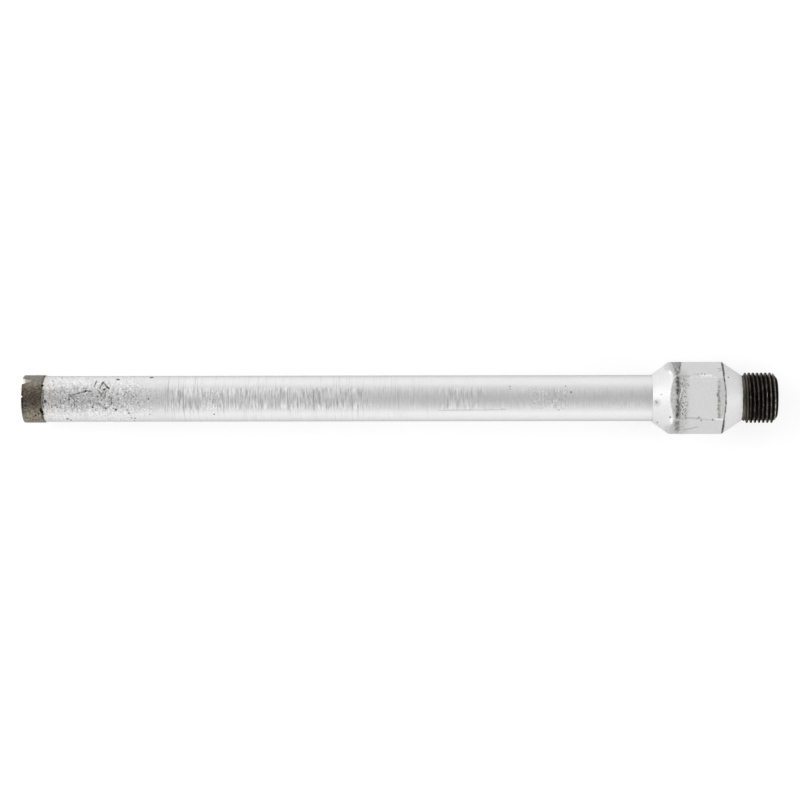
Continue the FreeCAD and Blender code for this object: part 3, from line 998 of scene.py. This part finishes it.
# Painted shade: the cone is darker towards its sides, near the hexagon's upper corners.
painted_shade_on_cone = coat.along.between(266.6, 268.8) * coat.along.between(271.5, 270.0) * coat.top
painted_shade_on_cone = painted_shade_on_cone * coat.across.size().between(10.2, 12.2)
color = color * (1 - 0.2 * painted_shade_on_cone)
grey_lines = coat.paths(fine_plan, [
    [(273.8, 9.0), (277.4, 9.0)],
    [(275.4, -8.2), (282.0, -8.3)],
    [(275.4, -13.1), (278.6, -12.6), (281.0, -11.9)],
    [(289.4, 12.1), (290.8, 12.2)],
    [(289.7, 11.1), (290.9, 11.4)],
])
color = coat.mix(grey_lines.between(0.34, 0.08) * 0.5 * coat.top, color, (0.22, 0.22, 0.21))
# Worn bright lines along the edges, and a painted glare at the corners where the cone's arcs meet the
# flats.
worn_edges_and_glare = coat.paths(fine_plan, [
    [(269.6, 10.8), (270.6, 9.7), (271.5, 8.7)],
    [(269.9, -8.3), (270.2, -10.3)],
    [(288.2, -8.8), (290.7, -9.1)],
    [(282.0, 9.3), (286.4, 9.2)],
])
worn_edges_and_glare = worn_edges_and_glare.between(0.62, 0.15) * (0.3 + 0.7 * chip.between(0.42, 0.54)) * coat.top
color = coat.mix(worn_edges_and_glare * 0.85, color, (0.97, 0.97, 0.96))
print("The collar's edges are worn")

# %% Oil band
blot = coat.grain(coat.place, 0.9, 4.0, 0.75)
core_line = [
    (272.6, 8.3), (272.55, 4.95), (273.0, 1.66), (272.75, -1.62), (272.55, -4.91), (272.6, -8.3),
]
core = coat.path(rough_plan, core_line).between(1.45, 0.6)
upper_gap = coat.path(rough_plan, [(272.7, 14.5), (272.35, 9.4)]) - 0.33 * (coat.across - 9.2).most(0)
upper = upper_gap.between(0.7, 0.0) * coat.across.between(8.9, 9.6)
lower = coat.path(rough_plan, [(272.35, -9.6), (272.7, -13.2)]).between(1.4, 0.5)
oil = core.most(upper).most(lower)
upper_edge = coat.path(rough_plan, [(274.3, 13.6), (273.3, 10.2)]).between(0.6, 0.15)
deep_line = [(272.6, 8.0), (272.7, 3.6), (272.8, -1.2), (272.5, -7.8)]
deep = coat.path(rough_plan, deep_line).between(0.8, 0.1)
oily = oil * (0.52 + 1.9 * (blot - 0.5)) + 0.3 * deep * blot.between(0.35, 0.55) + 0.3 * upper_edge
# A grey haze round the oil band: oil on the flat, and painted shade on its left, where the cone's arcs
# meet the flats.
oil_haze_and_shade = coat.up.between(14.6, 14.92).most(coat.along.between(270.1, 271.0))
oil_haze_and_shade = oil_haze_and_shade * coat.along.between(278.6, 273.8) * coat.across.between(13.5, 9.5) * coat.top
oil_haze_and_shade = oil_haze_and_shade * (0.33 + 1.5 * (blot - 0.47) + 1.6 * (chip - 0.5))
color = coat.mix(oil_haze_and_shade, color, (0.31, 0.31, 0.29))
thick = chip.between(0.37, 0.5)
spatter = coat.cells(coat.place, 1.25).between(0.5, 0.24)
spatter = spatter.most(coat.cells(coat.place, 0.8).between(0.38, 0.18))
spatter = spatter * thick * coat.along.between(272.8, 273.6) * coat.along.between(278.0, 274.6)
spatter = spatter * coat.across.size().between(9.0, 8.2)
spatter = spatter * (0.6 + 0.4 * coat.across.between(2.5, 0.5))
worn_through = (coat.across + 8.9).size().between(0.55, 0.2)
stain = oily.most(0).most(spatter * 0.95).least(0.95) * (1 - 0.7 * worn_through) * coat.top
color = coat.mix(stain, color, (0.035, 0.034, 0.026))
rub = coat.path(fine_plan, [(274.3, 4.1), (273.6, 0.9), (273.2, -0.9)]).between(0.4, 0.12) * coat.top
color = coat.mix(rub * 0.7, color, (0.8, 0.8, 0.79))
print("The oil band is on")

# %% Dirt at the joint
streak_line = [
    (289.3, 6.4), (289.4, 3.3), (289.0, 1.6), (289.55, -1.65), (289.2, -4.9), (289.5, -7.8),
]
streak = coat.path(fine_plan, streak_line).between(0.95, 0.1) * coat.top
color = coat.mix(streak * (0.55 + 4.2 * (blot - 0.5)), color, (0.09, 0.09, 0.085))
behind = coat.along.between(288.6, 289.5) * coat.across.size().between(8.6, 7.8) * coat.top
color = coat.mix(behind * 0.5 * chip.between(0.3, 0.6), color, (0.36, 0.36, 0.35))
off_flat = coat.across.size().between(8.3, 9.3)
from_end = coat.along - joint_bulge(coat) + 0.9 * (chip - 0.5) + 0.1 * off_flat
broken = coat.grain(coat.place, 0.6, 1.0).between(0.4, 0.56).most(off_flat * 0.8)
end_line = from_end.between(291.1, 291.35) * (0.45 + 0.55 * broken)
color = coat.mix(end_line * 0.93, color, (0.014, 0.014, 0.013))
cone_spots = [
    (264.1, -1.85, 0.35), (263.8, -1.3, 0.25), (265.9, 1.4, 0.2), (269.55, -7.95, 0.34),
    (264.7, -10.2, 0.25),
]
flat_spots = [
    (282.1, -9.25, 0.25), (281.1, -7.9, 0.2), (286.8, -8.9, 0.3), (277.0, 5.2, 0.2),
    (280.9, 9.8, 0.16), (282.4, 9.9, 0.2), (283.7, 9.8, 0.2), (279.6, 9.9, 0.1),
]
spot = coat.spots(fine_plan, cone_spots + flat_spots).between(0.22, -0.1) * coat.top
color = coat.mix(spot * 0.75, color, (0.08, 0.08, 0.075))
smudge = coat.spots(fine_plan, [(264.2, -1.9, 1.0)]).between(1.3, -0.4) * coat.top
color = coat.mix(smudge * 0.4, color, (0.3, 0.3, 0.3))
inner = coat.radius.between(9.84, 9.75)
color = coat.mix(inner, color, (0.2, 0.19, 0.18))
wet = stain.most(end_line)
relief = skin + 0.8 * chip * edge - bare
coat.finish(collar, color, 0.12 * (1 - wet), 0.42 + 0.12 * cloud, relief, 0.00005, dim_paint)

# %% Cone finish
cone, tone, cloud, skin = matt_silver("cone_silver")
patches = cone.grain(cone.place, 0.6, 1.0).between(0.4, 0.56)
from_base = cone.along - joint_bulge(cone) + 0.9 * (cone.grain(cone.place, 1.6, 3.0, 0.75) - 0.5)
off_flat = cone.across.size().between(8.3, 9.3)
dirt = (from_base - 0.2 * off_flat).between(292.0, 291.75)
dirt = dirt * (0.25 + 0.75 * patches.most(off_flat * 0.7))
tone = cone.mix(dirt * 0.9, tone, (0.02, 0.02, 0.018))
spot = cone.spots(cone.plan, [(293.6, 8.5, 0.22)]).between(0.15, -0.1) * cone.top
tone = cone.mix(spot, tone, (0.04, 0.04, 0.035))
bare_edge = cone.along.between(299.0, 299.4)
tone = cone.mix(bare_edge * 0.7, tone, (0.9, 0.9, 0.89))
cone.finish(sleeve, tone, 0.12, 0.42 + 0.12 * cloud, skin, 0.00005, dim_paint)

# %% [markdown]
# ## Finish of the thread
# The bare steel is black with oil and cutting slurry. A painted highlight on one flank of the
# thread runs along the helix, brightest on the last turns, with brighter painted glints in patches.
# Its place is worked out from the same turns as the mesh, with an arc tangent for the angle.

# %% Thread finish
steel = Finish("dark_steel")
oil_film = steel.grain(steel.place, 0.5, 3.0, 0.6)
fine_oil = steel.grain(steel.place, 1.6, 3.0, 0.7)
quarter = steel.node("ShaderNodeMath", {"operation": "ARCTAN2"}, {0: steel.across, 1: steel.up})
turns = (steel.along - CREST_AT) / PITCH + (quarter - math.pi / 2) / (2 * math.pi)
place_in_turn = steel.node("ShaderNodeMath", {"operation": "FRACT"}, {0: turns + 100.0})
flank = (place_in_turn - 0.67).size().between(0.18, 0.05) * steel.along.between(301.6, 302.6)
dark = steel.mix(oil_film, (0.0012, 0.0011, 0.0008), (0.007, 0.0063, 0.005))
neck = steel.along.between(302.5, 301.6)
dark = steel.mix(neck * 0.9, dark, steel.mix(fine_oil, (0.075, 0.071, 0.058), (0.18, 0.168, 0.14)))
last_turns = steel.along.between(309.0, 311.0)
# Painted highlight: a lighter line along one flank of the thread, with brighter painted glints in
# patches.
painted_flank_glint = flank * (0.6 + 0.5 * last_turns + 2.4 * (fine_oil - 0.5)) * steel.radius.between(9.2, 9.4)
dark = steel.mix(painted_flank_glint, dark, (0.32, 0.295, 0.24))
dark = steel.mix(painted_flank_glint * oil_film.between(0.46, 0.6), dark, (0.72, 0.68, 0.6))
faced = steel.along.between(314.2, 314.42)
dark = steel.mix(faced * 0.9, dark, steel.mix(fine_oil, (0.04, 0.038, 0.032), (0.12, 0.113, 0.095)))
rust = steel.radius.between(6.6, 5.9) * fine_oil.between(0.3, 0.7)
dark = steel.mix(rust * 0.6, dark, (0.1, 0.056, 0.036))
oily_steel = {"Specular IOR Level": 0.3, "Specular Tint": (0.35, 0.35, 0.35)}
dull_oil = 0.22 + 0.25 * fine_oil
steel.finish(thread, dark, 0.92 - 0.8 * painted_flank_glint, dull_oil, oil_film + fine_oil, 0.00008, oily_steel)

# %% [markdown]
# ## Tie the pieces to the frame
# Nothing on this bit moves, so every piece rides on the one body. Each piece hides the solid it
# stands for and says which one.

# %% Ride and replace
for piece, solid, finish_slot in (
    (crown, "diamond_crown", "diamond_matrix"),
    (bead, "solder_seam", "silver_solder"),
    (barrel, "barrel_tube", "silver_paint"),
    (collar, "hex_collar", "silver_paint"),
    (sleeve, "threaded_nipple", "silver_paint"),
    (thread, "threaded_nipple", "dark_steel"),
):
    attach(piece, "root")
    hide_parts(solid)
    print(piece.name, "stands for", solid)
